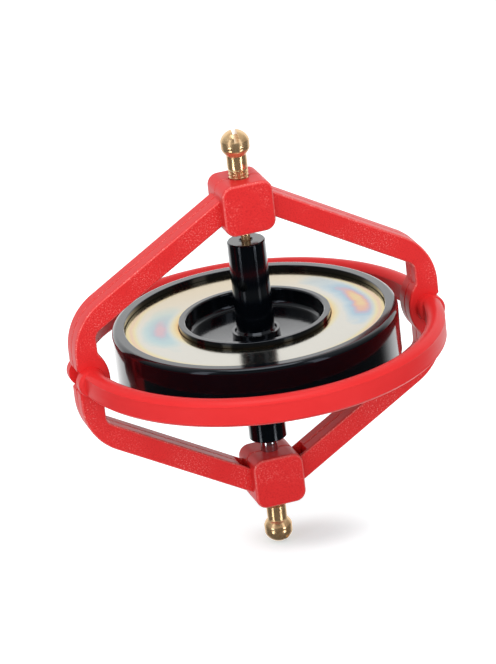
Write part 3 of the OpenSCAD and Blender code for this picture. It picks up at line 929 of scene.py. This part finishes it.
def buildCage():
    plane = ringPlane / mm
    front = loopHalf()
    facesOutward(front)
    for part in [blockHalf(1), blockHalf(-1), ringHalf(), ringStub(1), ringStub(-1)]:
        facesOutward(part)
        combine(front, part, "UNION")
    blockFoot = cage["blockMiddle"] - cage["blockTall"] / 2
    blockEnd = cage["blockMiddle"] + cage["blockTall"] / 2
    deep = cage["axleBoreDeep"]
    # the cutters reach 1 mm past the blocks
    cuts = [rod("bore", plane + blockFoot - 1, plane + blockEnd + 1, cage["screwBore"]),
            rod("bore", plane - blockEnd - 1, plane - blockFoot - deep, cage["screwBore"]),
            rod("bore", plane - blockFoot - deep - 0.1, plane - blockFoot + 1, cage["axleBore"])]
    # a cored pocket beside each block, where the arms' inner edges meet it
    slope = math.radians(cage["slope"])
    foot = cage["outerCorner"] + math.tan(slope) * (cage["outerX"] - cage["blockWide"] / 2)
    foot -= cage["armWide"] / math.cos(slope)
    for sx in (1, -1):
        near = sx * cage["blockWide"] / 2
        far = near + sx * cage["pocketWide"]
        for sz in (1, -1):
            levels = sorted(plane + sz * (foot + way * cage["pocketDeep"]) for way in (-1, 1))
            cuts.append(slab("pocket", (min(near, far), -cage["pocketRun"] / 2, levels[0]),
                             (max(near, far), cage["pocketRun"] / 2, levels[1])))
    for cut in cuts:
        facesOutward(cut)
        combine(front, cut, "DIFFERENCE")
    front.name = "frontCageHalf"
    rear = bpy.data.objects.new("rearCageHalf", front.data.copy())
    bpy.context.scene.collection.objects.link(rear)
    rear.data.transform(Matrix.Scale(-1, 4, (0, 1, 0)))
    facesOutward(rear)
    for half, node in ((front, "front_cage_half"), (rear, "rear_cage_half")):
        softenShading(half, cage["softBelow"])
        giveMaterial(half, redAbs)
        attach(half, "cage")
        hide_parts(node)


buildCage()

print("scene: screws")

# the two brass screws with their ball heads; sizes in mm, heights from the tip of the lower ball
screws = {
    "pitch": 0.7,
    "crest": 1.98,
    "root": 1.6,
    "neck": 2.0,
    "ball": 2.87,
    "bandRadius": 2.83,  # a flat band turned round the ball's middle
    "bandHalf": 0.8,
    "neckFillet": 0.5,
    "slotWide": 0.9,
    "slotDeep": 1.9,
    "chamfer": 0.15,
    "flat": 0.12,  # of the pitch, half the thread's flat crest
    "flank": 0.28,
    "fade": 0.35,  # mm in which the thread runs out at its ends
    "row": 0.07,  # mm between the thread's rings of points
    "around": 96,
    "softBelow": 40,
    "upper": {"ball": 85.13, "thread": (68.0, 80.3), "foot": 67.9, "shoulder": (1.5, 67.0),
              "pivot": (0.95, 61.5), "slotTurn": 82},
    "lower": {"ball": 2.87, "thread": (7.8, 15.3), "foot": 15.5, "cup": (1.19, 0.99),
              "slotTurn": 115},
}


def threadRadius(height, turn):
    # a thread with flat crests and roots at this height and angle round the axis
    phase = (height / screws["pitch"] - turn / (2 * math.pi)) % 1.0
    climb = min(max((abs(phase - 0.5) - screws["flat"]) / screws["flank"], 0), 1)
    return screws["crest"] + (screws["root"] - screws["crest"]) * climb


def neckAndBall():
    # (radius, height) from the neck over the fillet, the lower dome, the turned band round the
    # ball's middle and the upper dome, for a ball about 0
    fillet, ball = screws["neckFillet"], screws["ball"]
    band, half = screws["bandRadius"], screws["bandHalf"]
    drop = (band ** 2 + half ** 2 - ball ** 2) / (2 * (ball - half))
    dome = ball + drop
    lean = math.degrees(math.acos((screws["neck"] + fillet) / (dome + fillet)))
    reach = (dome + fillet) * math.sin(math.radians(lean))
    edge = math.degrees(math.asin((half + drop) / dome))
    outline = arcPoints((screws["neck"] + fillet, drop - reach), fillet, 180, 180 - lean, 6)
    outline += arcPoints((0, drop), dome, -lean, -edge, 12)[1:]
    return outline + arcPoints((0, -drop), dome, edge, 89, 30)


def latheRows(name, rows):
    # rows: (radius, height, threaded share); a share above 0 gives the row its thread
    rings = []
    for radius, height, share in rows:
        ring = []
        for k in range(screws["around"]):
            turn = 2 * math.pi * k / screws["around"]
            r = radius + (threadRadius(height, turn) - radius) * share
            ring.append((r * math.cos(turn), r * math.sin(turn), height))
        rings.append(ring)
    return loft(name, rings, False)


def threadRows(low, high):
    count = round((high - low) / screws["row"])
    rows = []
    for k in range(count + 1):
        height = low + (high - low) * k / count
        share = min(1, (height - low) / screws["fade"], (high - height) / screws["fade"])
        rows.append((screws["neck"], height, max(share, 0)))
    return rows


def cutSlot(thing, height, turn, upward):
    # the driver slot across a ball, cut from its end; the cutter reaches well past the ball
    low, high = height + screws["ball"] - screws["slotDeep"], height + screws["ball"] + 1
    if not upward:
        low, high = height - screws["ball"] - 1, height - screws["ball"] + screws["slotDeep"]
    slot = slab("slot", (-5, -screws["slotWide"] / 2, low), (5, screws["slotWide"] / 2, high))
    slot.data.transform(Matrix.Rotation(math.radians(turn), 4, "Z"))
    facesOutward(slot)
    combine(thing, slot, "DIFFERENCE")


def buildUpperScrew():
    size = screws["upper"]
    pinRadius, pinFoot = size["pivot"]
    shoulderRadius, shoulderFoot = size["shoulder"]
    rows = [(r, pinFoot + pinRadius + z, 0) for r, z in arcPoints((0, 0), pinRadius, -85, 0, 8)]
    chamfer = screws["chamfer"]
    rows += [(pinRadius, shoulderFoot, 0), (shoulderRadius - chamfer, shoulderFoot, 0),
             (shoulderRadius, shoulderFoot + chamfer, 0), (shoulderRadius, size["foot"], 0),
             (screws["neck"] - chamfer, size["foot"], 0)]
    rows += threadRows(*size["thread"])
    rows += [(r, size["ball"] + z, 0) for r, z in neckAndBall()]
    thing = latheRows("upperPivotScrew", rows)
    facesOutward(thing)
    cutSlot(thing, size["ball"], size["slotTurn"], True)
    return thing


def buildLowerScrew():
    size = screws["lower"]
    cupRadius, cupDeep = size["cup"]
    rows = [(r, size["ball"] - z, 0) for r, z in reversed(neckAndBall())]
    rows += threadRows(*size["thread"])
    rows += [(screws["neck"] - screws["chamfer"], size["foot"], 0), (cupRadius, size["foot"], 0),
             (cupRadius - cupDeep, size["foot"] - cupDeep, 0)]
    thing = latheRows("lowerPivotScrew", rows)
    facesOutward(thing)
    cutSlot(thing, size["ball"], size["slotTurn"], False)
    return thing


for thing, node, body in ((buildUpperScrew(), "upper_pivot_screw", "upper_screw"),
                          (buildLowerScrew(), "lower_pivot_screw", "lower_screw")):
    softenShading(thing, screws["softBelow"])
    giveMaterial(thing, brass)
    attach(thing, body)
    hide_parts(node)
